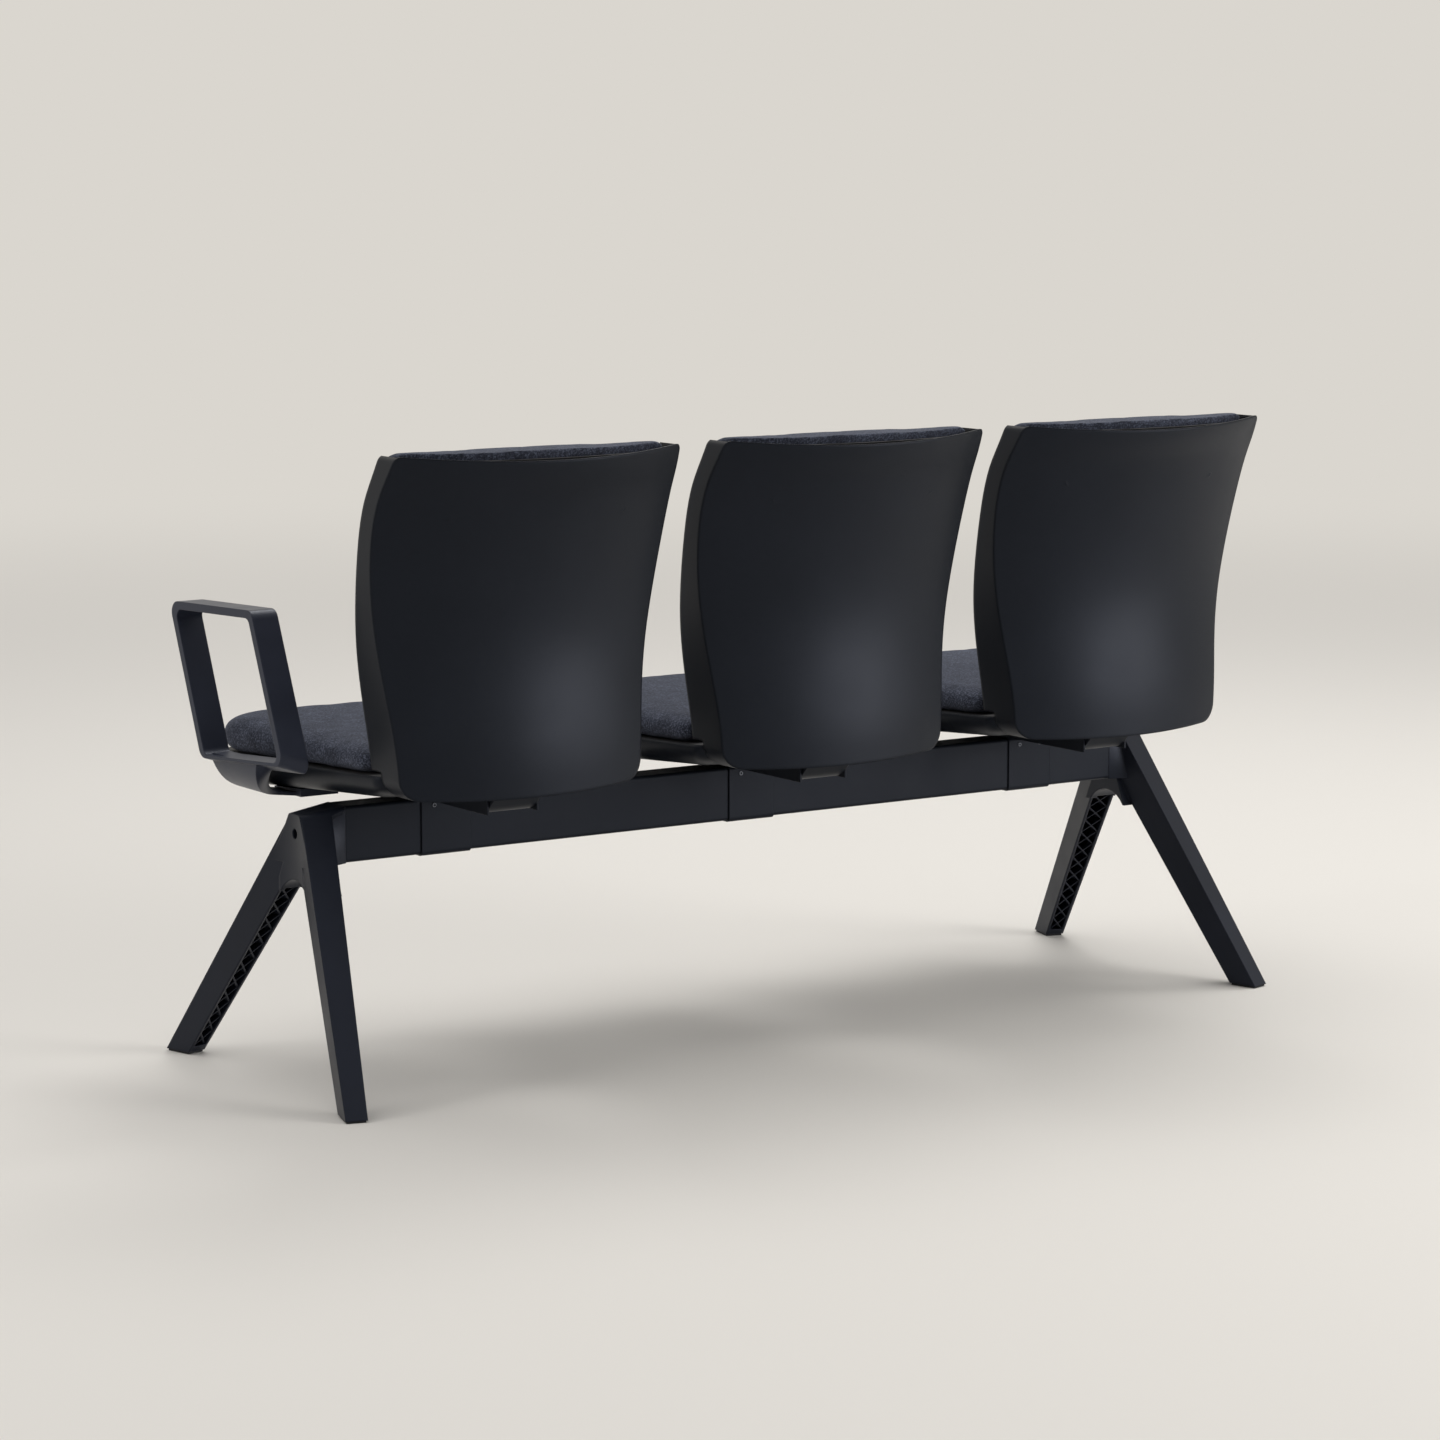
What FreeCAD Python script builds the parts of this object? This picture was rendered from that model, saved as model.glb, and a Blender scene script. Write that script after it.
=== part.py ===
import FreeCAD
import Part
import os
from math import atan, cos, degrees, pi, radians, sin, sqrt, tan

os.makedirs("parts", exist_ok=True)
V = FreeCAD.Vector

# Three upholstered seats on one beam with two ribbed cast legs and an armrest at each end.
# X runs along the beam, the seats face -Y, Z is up from the floor, and the origin is on the
# floor under the middle of the outer box. Sizes are in millimetres.

# The row of seats
seat_pitch = 508.0
chairs = {"left": seat_pitch, "middle": 0.0, "right": -seat_pitch}

# Beam: a rectangular steel tube
beam_top = 378.0
beam_height = 78.0
beam_depth = 50.0
beam_wall = 3.0
beam_corner = 5.0
beam_offset = 8.0            # the beam's middle lies this far behind the legs' middle plane
seam_from_end_seat = 156.0   # from an end seat's middle to the joint between beam and casting

# Legs: one ribbed casting at each end
leg_outer_reach = 213.0      # from an end seat's middle to the hub's outer side
leg_yaw = 15.3               # degrees that each limb turns outwards in plan
limb_reach = {"front": 278.0, "rear": 272.0}   # plan distance from the hub to a foot's far edge
limb_lean = {"front": 0.722, "rear": 0.668}    # plan distance gained for each mm downwards
foot_depth = 46.0
limb_top_depth = 58.0
foot_width = 30.0
limb_top_width = 43.0
hub_end_top = 371.0          # height of the hub's outer end
hub_side_radius = 200.0      # plan radius of the hub's outer side between the limbs
hub_edge_round = 11.0
crotch_radius = 48.0
leg_wall = 4.5
sole_thickness = 9.0
rib_thickness = 2.6
rib_cells = 11
rib_recess = 2.5
channel_top = 262.0

# Spigot, plug and bolt that join a casting to the beam
spigot_length = 26.0
plug_length = 32.0
fit_clearance = 0.2
leg_bolt_radius = 4.0
leg_bolt_head_radius = 6.5
leg_bolt_head_height = 8.0
leg_bolt_height = 343.0

# Foot glides
glide_thickness = 3.0
glide_inset = 2.0
glide_stem_radius = 4.0
glide_stem_length = 6.0

# Sleeve and bracket that carry a seat
sleeve_width = 78.0
sleeve_wall = 2.0
set_screw_radius = 3.0
set_screw_spacing = 38.0
set_screw_drop = 10.0
bracket_width = 80.0
bracket_front = -165.0
bracket_rear = 215.0
bracket_wall = 3.0
upright_thickness = 6.0
upright_front = 130.0
upright_heel = 206.0         # where the bar's sharp lower bend would be
upright_bend_radius = 32.0
upright_low = 465.0          # the straight stretch behind the back's board
upright_top = 602.0

# Seat pan, board and cushion
pan_bottom = 396.4           # height of the pan's underside over the middle of the hubs
pan_bottom_rise = 0.07       # rise of the underside for each mm rearwards
pan_depth = 38.3
pan_rim_rise = 0.035
pan_wall = 3.5
pan_round_inset = 44.0
seat_front = -270.0
seat_rear = 226.0
seat_front_half_width = 225.0
seat_rear_half_width = 190.0
seat_front_bow = 8.0
seat_front_corner = 70.0
seat_rear_corner = 24.0
seat_board_thickness = 10.0
seat_board_gap = 1.5
cushion_rear = 157.0
cushion_height = 42.0
cushion_clearance = 0.3
cushion_top_fall = 0.012      # fall of the top for each mm rearwards
pan_rib_spacing = 92.0
pan_rib_thickness = 3.0

# Back shell, board and cushion
back_top = 873.0
back_bottom = 415.0
back_bottom_sag = 6.0        # the lower edge is that much lower in its middle
back_curve_radius = 509.0    # plan radius of the rear face
back_wall = 4.0
back_profile = ((415, 275.0, 172.0), (500, 272.2, 161.0), (560, 266.6, 159.0), (620, 266.5, 166.0),
                (690, 276.0, 185.0), (760, 293.5, 206.0), (820, 316.0, 226.5), (890, 351.0, 256.8))
back_half_width = ((415, 186.0), (480, 190.0), (560, 199.5), (650, 213.5), (730, 223.0), (800, 225.5),
                   (881, 215.5))
back_bottom_corner = 30.0
back_top_corner = 9.0
side_wall_bottom = 448.0
pan_to_shell_gap = 2.5
back_board_thickness = 9.0
board_clearance = 0.5        # between the board and what it is screwed to
back_board_gap = 10.5        # room behind the board for the upright
back_cushion_bottom = 492.0
back_cushion_top = 876.0
back_cushion_proud = 14.0
back_cushion_round = 11.0
back_cushion_corner = 24.0
back_board_bottom = 478.0
back_board_top = 863.0
boss_radius = 6.0
boss_places = ((-130.0, 545.0), (130.0, 545.0), (-130.0, 790.0), (130.0, 790.0))
back_screw_head_height = 2.0
back_screw_places = ((-22.0, 512.0), (22.0, 512.0), (-22.0, 578.0), (22.0, 578.0))

# Armrests
arm_gap = 60.0               # from the side of an end seat to the loop's outer face
arm_width = 40.0
arm_top = 651.0              # the loop's top and bottom where they cross the legs' middle plane
arm_bottom = 443.5
arm_top_rise = 0.024         # rise for each mm rearwards
arm_bottom_rise = 0.059
arm_length = 216.0
arm_lean = 78.0
arm_rear_bottom = 88.0
arm_band = 11.0
arm_floor = 4.5
arm_inner_drop = 13.0        # the floor's underside falls by that much towards the seat
arm_outer_corner = 16.0
arm_inner_corner = 11.0
arm_toe = 4.0
arm_flange_front = -132.0
arm_flange_length = 78.0
arm_flange_width = 58.0
arm_flange_thickness = 6.0
arm_screw_places = (-117.0, -70.0)
arm_neck_reach = 67.0        # from the loop's inner face to the flange
arm_outer_reach = seat_front_half_width + arm_gap
arm_flange_reach = arm_outer_reach - arm_width - arm_neck_reach
arm_screw_reach = arm_flange_reach - arm_flange_width / 2

# Small fasteners
screw_radius = 2.5
screw_head_radius = 5.0
screw_head_height = 3.0

pan_rim = pan_bottom + pan_depth
parts = {}


def arc(a, b, c):
    return Part.Arc(V(*a), V(*b), V(*c)).toShape()


def line(a, b):
    return Part.makeLine(V(*a), V(*b))


def prism(points, direction):
    """A prism from a flat polygon swept along a direction."""
    wire = Part.makePolygon([V(*p) for p in list(points) + [points[0]]])
    return Part.Face(wire).extrude(V(*direction))


def block(x0, x1, y0, y1, z0, z1):
    return Part.makeBox(x1 - x0, y1 - y0, z1 - z0, V(x0, y0, z0))


def rounded(shape, radius, chosen):
    """Round the edges of a shape for which the test holds."""
    return shape.makeFillet(radius, [e for e in shape.Edges if chosen(e)])


def moved(shape, x=0.0, y=0.0, z=0.0):
    copy = shape.copy()
    copy.translate(V(x, y, z))
    return copy


def wedge(low, high):
    """A solid with flat sides between the four corners of two ends."""
    low, high = [V(*p) for p in low], [V(*p) for p in high]
    sides = [[low[i], low[(i + 1) % 4], high[(i + 1) % 4], high[i]] for i in range(4)]
    faces = [Part.Face(Part.makePolygon(loop + loop[:1])) for loop in [low, high] + sides]
    solid = Part.Solid(Part.Shell(faces))
    return solid if solid.Volume > 0 else solid.reversed()


def mirrored(shape):
    """The same piece for the other end of the beam."""
    return shape.mirror(V(0, 0, 0), V(1, 0, 0))


def along(edge, direction):
    """True for a straight edge that runs along the given direction."""
    first, last = edge.Vertexes[0].Point, edge.Vertexes[-1].Point
    if first.distanceToPoint(last) < 0.01 or edge.Curve.TypeId != "Part::GeomLine":
        return False
    run = (last - first).normalize()
    return abs(abs(run.dot(V(*direction))) - 1.0) < 1e-6


# Beam
half_depth = beam_depth / 2
beam_low = beam_top - beam_height
beam_end = seat_pitch + seam_from_end_seat


def bar(x0, x1, grow, corner):
    """A solid bar with the beam's section, grown or shrunk all round."""
    solid = block(x0, x1, beam_offset - half_depth - grow, beam_offset + half_depth + grow,
                  beam_low - grow, beam_top + grow)
    return rounded(solid, corner, lambda e: along(e, (1, 0, 0)))


def make_beam():
    inside = bar(-beam_end, beam_end, -beam_wall, beam_corner - beam_wall)
    return bar(-beam_end, beam_end, 0.0, beam_corner).cut(inside)


# Legs
yaw = radians(leg_yaw)
hub_side = seat_pitch + leg_outer_reach
foot_low = glide_thickness
channel_low = glide_thickness + sole_thickness


def limb_point(which, u, w, z):
    """A point of a limb: u outwards in plan, w inwards from its outer side, z up."""
    side = -1.0 if which == "front" else 1.0
    x = hub_side + u * sin(yaw) - w * cos(yaw)
    y = side * (u * cos(yaw) + w * sin(yaw))
    return (x, y, z)


def limb_far(which, z):
    return limb_reach[which] - limb_lean[which] * z


def limb_width(z):
    return foot_width + (limb_top_width - foot_width) * z / beam_top


def limb_depth(z):
    return foot_depth + (limb_top_depth - foot_depth) * z / beam_top


def limb_wedge(which, z0, z1, back_wall_cut, mouth_grow, side_cut):
    """The tapered limb, or a pocket in it, between two heights."""
    ends = []
    for z in (z0, z1):
        far = limb_far(which, z) - back_wall_cut
        near = limb_far(which, z) - limb_depth(z) - mouth_grow
        w0, w1 = side_cut, limb_width(z) - side_cut
        ends.append([limb_point(which, u, w, z) for u, w in ((far, w0), (far, w1), (near, w1), (near, w0))])
    return wedge(*ends)


def rib_plates(which):
    """Thin plates that cross the channel in an X in each cell."""
    step = (channel_top - channel_low) / rib_cells
    half = rib_thickness * 0.6
    plates = []
    for i in range(rib_cells):
        z0, z1 = channel_low + i * step, channel_low + (i + 1) * step
        for flip in (False, True):
            ends = []
            for z in (z0, z1):
                w = leg_wall if (z == z0) != flip else limb_width(z) - leg_wall
                far = limb_far(which, z)
                near = far - limb_depth(z) + rib_recess
                ends.append([limb_point(which, u, w + s, z) for u, s in
                             ((far, -half), (far, half), (near, half), (near, -half))])
            plates.append(wedge(*ends))
    return plates


def far_face_y(which, x, z):
    """Where the plane of a limb's far face stands at a place along the beam."""
    side = -1.0 if which == "front" else 1.0
    return side * (limb_far(which, z) / cos(yaw) + (hub_side - x) * tan(yaw))


def hub_top(x):
    return beam_top - (beam_top - hub_end_top) * (x - beam_end) / (hub_side - beam_end)


def hub_section(x, low):
    """The space between the far faces of the two limbs, at a place along the beam."""
    corners = []
    for which, z in (("front", hub_top(x)), ("rear", hub_top(x)), ("rear", low), ("front", low)):
        corners.append((x, far_face_y(which, x, z), z))
    return corners


def hub_envelope(hub_end, low):
    """The hub's outside with its two upper edges rounded."""
    solid = wedge(hub_section(beam_end, low), hub_section(hub_end, low))
    return rounded(solid, hub_edge_round, lambda e: min(v.Z for v in e.Vertexes) > hub_top(hub_end) - 1
                   and e.BoundBox.XLength > 1)


def outside_hub():
    """What lies beyond the outer sides of the limbs and the hollow curve between them."""
    touch, far = hub_side_radius * tan(yaw), 160.0
    low, high = foot_low + 200.0, foot_low + 400.0
    a, b = [limb_point("front", u, 0.0, low) for u in (far, touch)]
    c, d = [limb_point("rear", u, 0.0, low) for u in (touch, far)]
    middle = (hub_side + hub_side_radius * (1 / cos(yaw) - 1), 0.0, low)
    e, f = (hub_side + far, d[1], low), (hub_side + far, a[1], low)
    wire = Part.Wire([line(a, b), arc(b, middle, c), line(c, d), line(d, e), line(e, f), line(f, a)])
    return Part.Face(wire).extrude(V(0, 0, high - low))


def crotch_web(x0, x1):
    """The rounded metal between the limbs, under the hub."""
    slopes = {w: limb_lean[w] + (limb_top_depth - foot_depth) / beam_top for w in limb_lean}
    starts = {w: limb_reach[w] - foot_depth for w in limb_lean}
    crossing = (starts["front"] + starts["rear"]) / (slopes["front"] + slopes["rear"])
    opening = sum(atan(slope * cos(yaw)) for slope in slopes.values()) / 2
    middle_z = crossing - crotch_radius / sin(opening)
    middle = [0.0, (slopes["front"] - slopes["rear"]) * (crossing - middle_z) / 2
              + (starts["rear"] - slopes["rear"] * crossing) * cos(yaw), middle_z]
    touch_z = middle_z + crotch_radius * sin(opening)
    low = {w: (starts[w] - slopes[w] * touch_z) * cos(yaw) + 8 for w in limb_lean}
    top = crossing + 25
    web = prism([(x0, -low["front"], touch_z), (x0, low["rear"], touch_z), (x0, 14, top), (x0, -8, top)], (x1 - x0, 0, 0))
    round_cut = Part.makeCylinder(crotch_radius, x1 - x0 + 20, V(x0 - 10, middle[1], middle_z), V(1, 0, 0))
    return web.cut(round_cut)


def make_leg():
    """The casting on the +X end: two limbs, hub, spigot, channels and ribs."""
    split = beam_low
    low_limbs = [limb_wedge(w, foot_low, split, 0.0, 0.0, 0.0) for w in ("front", "rear")]
    high_limbs = [limb_wedge(w, split, beam_top, 0.0, 0.0, 0.0) for w in ("front", "rear")]
    hub_end = hub_side + 20
    low_y, high_y = beam_offset - half_depth, beam_offset + half_depth
    near_end = [(beam_end, low_y, beam_top), (beam_end, high_y, beam_top),
                (beam_end, high_y, beam_low), (beam_end, low_y, beam_low)]
    ends = [Part.makePolygon([V(*p) for p in end + end[:1]]) for end in (near_end, hub_section(hub_end, beam_low))]
    neck = Part.makeLoft(ends, True, True)
    hub = neck.fuse(high_limbs).common(hub_envelope(hub_end, beam_low))
    web = crotch_web(hub_side - limb_top_width + 3, hub_side + 10)
    body = hub.fuse([web] + low_limbs).cut(outside_hub())
    for which in ("front", "rear"):
        channel = limb_wedge(which, channel_low, channel_top, leg_wall, 30.0, leg_wall)
        body = body.cut(channel.cut(rib_plates(which)))
    spigot = bar(beam_end - spigot_length, beam_end, -beam_wall - fit_clearance, beam_corner - beam_wall)
    body = body.fuse(spigot)
    hole = Part.makeCylinder(leg_bolt_radius + fit_clearance, 200,
                             V(beam_end - 60, beam_offset, leg_bolt_height), V(1, 0, 0))
    seat = Part.makeCylinder(leg_bolt_head_radius + 3 * fit_clearance, 40,
                             V(hub_side - leg_bolt_head_height - 3, beam_offset, leg_bolt_height), V(1, 0, 0))
    body = body.cut(hole.fuse(seat))
    for which in ("front", "rear"):
        body = body.cut(glide_stem(which, fit_clearance))
    return body


def foot_middle(which):
    u = limb_far(which, foot_low) - limb_depth(foot_low) / 2
    return limb_point(which, u, limb_width(foot_low) / 2, 0.0)


def glide_stem(which, clearance):
    x, y, _ = foot_middle(which)
    return Part.makeCylinder(glide_stem_radius + clearance, glide_stem_length + clearance, V(x, y, foot_low))


def make_glides():
    glides = []
    for which in ("front", "rear"):
        far = limb_far(which, foot_low) - glide_inset
        near = limb_far(which, foot_low) - limb_depth(foot_low) + glide_inset
        w0, w1 = glide_inset, limb_width(foot_low) - glide_inset
        corners = [limb_point(which, u, w, 0.0) for u, w in ((far, w0), (far, w1), (near, w1), (near, w0))]
        pad = prism(corners, (0, 0, glide_thickness))
        glides.append(pad.fuse(glide_stem(which, 0.0)))
    return Part.makeCompound(glides)


def make_plug():
    """The tapped block inside the beam, just past the spigot."""
    x1 = beam_end - spigot_length - fit_clearance
    plug = bar(x1 - plug_length, x1, -beam_wall - fit_clearance, beam_corner - beam_wall)
    thread = Part.makeCylinder(leg_bolt_radius + fit_clearance, plug_length,
                               V(x1 - plug_length, beam_offset, leg_bolt_height), V(1, 0, 0))
    return plug.cut(thread)


def make_leg_bolt():
    """A socket-head screw along X through the casting and into the plug."""
    head_x = hub_side - leg_bolt_head_height - 3
    end_x = beam_end - spigot_length - plug_length + 4
    shank = Part.makeCylinder(leg_bolt_radius, head_x - end_x, V(end_x, beam_offset, leg_bolt_height), V(1, 0, 0))
    head = Part.makeCylinder(leg_bolt_head_radius, leg_bolt_head_height,
                             V(head_x, beam_offset, leg_bolt_height), V(1, 0, 0))
    socket = Part.makeCylinder(leg_bolt_head_radius * 0.5, leg_bolt_head_height * 0.6,
                               V(head_x + leg_bolt_head_height * 0.4, beam_offset, leg_bolt_height), V(1, 0, 0))
    return shank.fuse(head).cut(socket)


parts["beam_tube"] = make_beam()
end_pieces = {"leg": make_leg(), "beam_plug": make_plug(), "leg_bolt": make_leg_bolt(), "foot_glides": make_glides()}

# Seat
def pan_underside(y):
    return pan_bottom + pan_bottom_rise * y


def plan_outline(half_front, half_rear, y_front, y_rear, bow_front, bow_rear, front_corner, rear_corner):
    """A closed wire at z = 0: bowed front and rear edges, straight sides, rounded corners."""
    a, b = (-half_front, y_front, 0), (half_front, y_front, 0)
    c, d = (half_rear, y_rear, 0), (-half_rear, y_rear, 0)
    edges = [arc(a, (0, y_front - bow_front, 0), b), line(b, c), arc(c, (0, y_rear + bow_rear, 0), d), line(d, a)]
    slab = Part.Face(Part.Wire(edges)).extrude(V(0, 0, 10))
    slab = rounded(slab, front_corner, lambda e: along(e, (0, 0, 1)) and e.CenterOfMass.y < 0)
    slab = rounded(slab, rear_corner, lambda e: along(e, (0, 0, 1)) and e.CenterOfMass.y > 0
                   and e.Length > 9 and abs(e.CenterOfMass.y - y_rear) < 1)
    low = [f for f in slab.Faces if f.CenterOfMass.z < 0.01][0]
    return low.OuterWire


def level_section(outline, share, z, rise):
    """The outline scaled about its middle, tipped by a rise and lifted."""
    wire = outline.copy()
    wire.scale(share, V(0, (seat_front + seat_rear) / 2, 0))
    wire.rotate(V(0, 0, 0), V(1, 0, 0), degrees(atan(rise)))
    wire.translate(V(0, 0, z))
    return wire


rear_bow = back_curve_radius - sqrt(back_curve_radius ** 2 - seat_rear_half_width ** 2)
pan_outline = plan_outline(seat_front_half_width, seat_rear_half_width, seat_front + seat_front_bow,
                           seat_rear - rear_bow, seat_front_bow, rear_bow, seat_front_corner, seat_rear_corner)


def pan_body(wall):
    """The pan's outside, or with a wall its hollow: a round-edged dish that is deepest in front."""
    sections = []
    low, rim = pan_bottom + wall, pan_rim
    for step in range(4):
        angle = step * pi / 6
        inset = (pan_round_inset - wall) * (1 - sin(angle)) + wall
        z = low + (rim - 8 - low) * (1 - cos(angle))
        tilt = pan_bottom_rise + (pan_rim_rise - pan_bottom_rise) * (1 - cos(angle))
        sections.append(level_section(pan_outline, 1 - inset / seat_front_half_width, z, tilt))
    top = rim + (1 if wall else 0)
    sections.append(level_section(pan_outline, 1 - wall / seat_front_half_width, top, pan_rim_rise))
    return Part.makeLoft(sections, True, False)


def under_pan(x0, x1, y0, y1, z_low, sink=0.0):
    """A block from a level up to the pan's sloping underside, or that far below it."""
    points = [(x0, y0, z_low), (x0, y1, z_low), (x0, y1, pan_underside(y1) - sink),
              (x0, y0, pan_underside(y0) - sink)]
    return prism(points, (x1 - x0, 0, 0))


board_low = pan_rim - seat_board_thickness


def pan_ribs():
    """Ribs inside the pan, from its floor up to the board."""
    ribs = []
    low, high = pan_bottom - pan_depth, pan_rim + pan_depth
    half = pan_rib_thickness / 2
    for place in (-pan_rib_spacing, 0.0, pan_rib_spacing):
        ribs.append(block(place - half, place + half, seat_front, seat_rear, low, high))
        ribs.append(block(-seat_front_half_width, seat_front_half_width, place - half, place + half, low, high))
    lattice = ribs[0].fuse(ribs[1:])
    width, length, height = 2.5 * seat_front_half_width, 2.5 * (seat_rear - seat_front), 3 * pan_depth
    under_board = Part.makeBox(width, length, height, V(-width / 2, -length / 2, -height))
    under_board.rotate(V(0, 0, 0), V(1, 0, 0), degrees(atan(pan_rim_rise)))
    under_board.translate(V(0, 0, board_low))
    return lattice.common(pan_body(pan_wall)).common(under_board)


screw_places = [(sx * pan_rib_spacing * 0.32, y) for sx in (-1, 1) for y in (-128.0, -65.0, 110.0)]


def tilted_cylinder(radius, low, high, x, y, rise):
    """A cylinder square to a plane of the given rise, between two distances from it."""
    shape = Part.makeCylinder(radius, high - low, V(0, 0, low))
    shape.rotate(V(0, 0, 0), V(1, 0, 0), degrees(atan(rise)))
    shape.translate(V(x, y, pan_underside(y)))
    return shape


def make_pan(arm_side):
    """The moulded pan; arm_side is 1 or -1 where an arm is screwed on, or 0."""
    pan = pan_body(0.0).cut(pan_body(pan_wall)).fuse(pan_ribs())
    holes = list(screw_places)
    if arm_side:
        holes += [(arm_side * arm_screw_reach, y) for y in arm_screw_places]
    for x, y in holes:
        pan = pan.cut(tilted_cylinder(screw_radius + fit_clearance, -5, pan_wall + 5, x, y, pan_bottom_rise))
    return pan


def make_seat_board():
    """Plywood that closes the pan and carries the upholstery."""
    share = 1 - (pan_wall + seat_board_gap) / seat_front_half_width
    ends = [level_section(pan_outline, share, z, pan_rim_rise) for z in (board_low, pan_rim)]
    board = Part.makeLoft(ends, True, True)
    return board


cushion_outline = plan_outline(seat_front_half_width, seat_rear_half_width + 6, seat_front + seat_front_bow,
                               cushion_rear, seat_front_bow, 4.0, seat_front_corner, seat_rear_corner)


def cushion_stack(stack):
    """A smooth loft through the cushion's outline at several shares of its size and height."""
    sections = []
    for share, level in stack:
        rise = pan_rim_rise * (1 - level) - cushion_top_fall * level
        z = pan_rim + cushion_clearance + cushion_height * level
        sections.append(level_section(cushion_outline, share, z, rise))
    return Part.makeLoft(sections, True, False)


def make_seat_cushion():
    """Upholstered pad: sides drawn in under the edge, a rounded edge and a crowned top."""
    edge = cushion_stack(((0.955, 0.0), (0.985, 0.16), (1.0, 0.38), (0.998, 0.60), (0.975, 0.79), (0.935, 0.90),
                          (0.885, 0.95)))
    crown = cushion_stack(((0.885, 0.95), (0.59, 0.985), (0.295, 1.0)))
    return edge.fuse(crown)


# Sleeve, bracket and upright
sleeve_top = beam_top + fit_clearance + sleeve_wall


def make_sleeve():
    half = sleeve_width / 2
    outside = bar(-half, half, fit_clearance + sleeve_wall, beam_corner + sleeve_wall)
    sleeve = outside.cut(bar(-half, half, fit_clearance, beam_corner + fit_clearance))
    for x in (-set_screw_spacing / 2, set_screw_spacing / 2):
        hole = Part.makeCylinder(set_screw_radius, 20, V(x, beam_offset + half_depth - 5, beam_top - set_screw_drop),
                                 V(0, 1, 0))
        sleeve = sleeve.cut(hole)
    return sleeve


def make_set_screws():
    """Two socket set screws that lock the sleeve on the beam."""
    screws = []
    for x in (-set_screw_spacing / 2, set_screw_spacing / 2):
        place = V(x, beam_offset + half_depth, beam_top - set_screw_drop)
        screw = Part.makeCylinder(set_screw_radius - 0.05, sleeve_wall + 1.2, place, V(0, 1, 0))
        socket = Part.makeCylinder(set_screw_radius * 0.55, 2.0, place + V(0, sleeve_wall - 0.8, 0), V(0, 1, 0))
        screws.append(screw.cut(socket))
    return Part.makeCompound(screws)


def make_bracket():
    """Pressed channel under the pan, deeper towards the rear, with an open rear end for the upright."""
    half = bracket_width / 2
    outside = under_pan(-half, half, bracket_front, bracket_rear, sleeve_top)
    inside = under_pan(-half + bracket_wall, half - bracket_wall, bracket_front + bracket_wall,
                       bracket_rear + 5, sleeve_top - 5, bracket_wall)
    shape = outside.cut(inside)
    pad = under_pan(-half + 1, half - 1, beam_offset - half_depth, beam_offset + half_depth, sleeve_top, 1.0)
    shape = shape.fuse(pad)
    for x, y in screw_places:
        shape = shape.cut(tilted_cylinder(screw_radius + fit_clearance, -20, 5, x, y, pan_bottom_rise))
    return shape


def make_seat_screws():
    screws = []
    for x, y in screw_places:
        shank = tilted_cylinder(screw_radius, -bracket_wall, pan_wall + 4, x, y, pan_bottom_rise)
        head = tilted_cylinder(screw_head_radius, -bracket_wall - screw_head_height, -bracket_wall, x, y,
                               pan_bottom_rise)
        screws.append(shank.fuse(head))
    return Part.makeCompound(screws)


# Back
def profile_curve(column, offset):
    """The back's side profile at x = 0: its rear line, or the front edge of its sides."""
    points = [V(0, row[column] + offset, row[0]) for row in back_profile]
    curve = Part.BSplineCurve()
    curve.interpolate(points)
    return curve


def curve_at(curve, z):
    """The point of a rising curve at a height, held to the curve's ends."""
    low, high = curve.FirstParameter, curve.LastParameter
    for _ in range(40):
        middle = (low + high) / 2
        low, high = (middle, high) if curve.value(middle).z < z else (low, middle)
    return curve.value(low)


rear_line = profile_curve(1, 0.0)
edge_line = profile_curve(2, 0.0)


def rear_y(z):
    return curve_at(rear_line, z).y


def edge_y(z):
    return curve_at(edge_line, z).y


def rear_arc_drop(x):
    return back_curve_radius - sqrt(back_curve_radius ** 2 - x ** 2)


def half_width_curve():
    curve = Part.BSplineCurve()
    curve.interpolate([V(row[1], 0, row[0]) for row in back_half_width])
    return curve


width_line = half_width_curve()


slab_spans = 7
slab_half_width = 234.0


def back_slab(rear_offset, front_offset, z0, z1, front_bow=0.0, half=slab_half_width, parallel=False):
    """The curved slab between a surface parallel to the rear face and one near the front edge."""
    wires = []
    for step in range(slab_spans + 1):
        z = z0 + (z1 - z0) * step / slab_spans
        rear = rear_y(z) + rear_offset
        drop = rear_arc_drop(half)
        a, b = (-half, rear - drop, z), (half, rear - drop, z)
        if parallel:
            front = rear + front_offset
            c, d, middle = (half, front - drop, z), (-half, front - drop, z), (0, front, z)
        else:
            front = edge_y(z) + front_offset
            c, d, middle = (half, front + front_bow, z), (-half, front + front_bow, z), (0, front - 0.01, z)
        wires.append(Part.Wire([arc(a, (0, rear, z), b), line(b, c), arc(c, middle, d), line(d, a)]))
    return Part.makeLoft(wires, True, False)


def elevation(inset, z0, z1):
    """The back's outline seen from behind, inset all round, as a prism along Y."""
    rows = [row for row in back_half_width if z0 + 10 < row[0] < z1 - 10]
    levels = [z0] + [row[0] for row in rows] + [z1]
    right = Part.BSplineCurve()
    right.interpolate([V(curve_at(width_line, z).x - inset, -400, z) for z in levels])
    left = Part.BSplineCurve()
    left.interpolate([V(-curve_at(width_line, z).x + inset, -400, z) for z in levels])
    x0, x1 = curve_at(width_line, z0).x - inset, curve_at(width_line, z1).x - inset
    edges = [arc((-x0, -400, z0), (0, -400, z0 - back_bottom_sag), (x0, -400, z0)), right.toShape(), line((x1, -400, z1), (-x1, -400, z1)),
             left.toShape()]
    return Part.Face(Part.Wire(Part.__sortEdges__(edges))).extrude(V(0, 900, 0))


def back_prism(inset, z0, z1, low_corner, high_corner):
    shape = elevation(inset, z0, z1)
    shape = rounded(shape, low_corner, lambda e: along(e, (0, 1, 0)) and e.CenterOfMass.z < z0 + 1)
    return rounded(shape, high_corner, lambda e: along(e, (0, 1, 0)) and e.CenterOfMass.z > z1 - 1)


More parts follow.
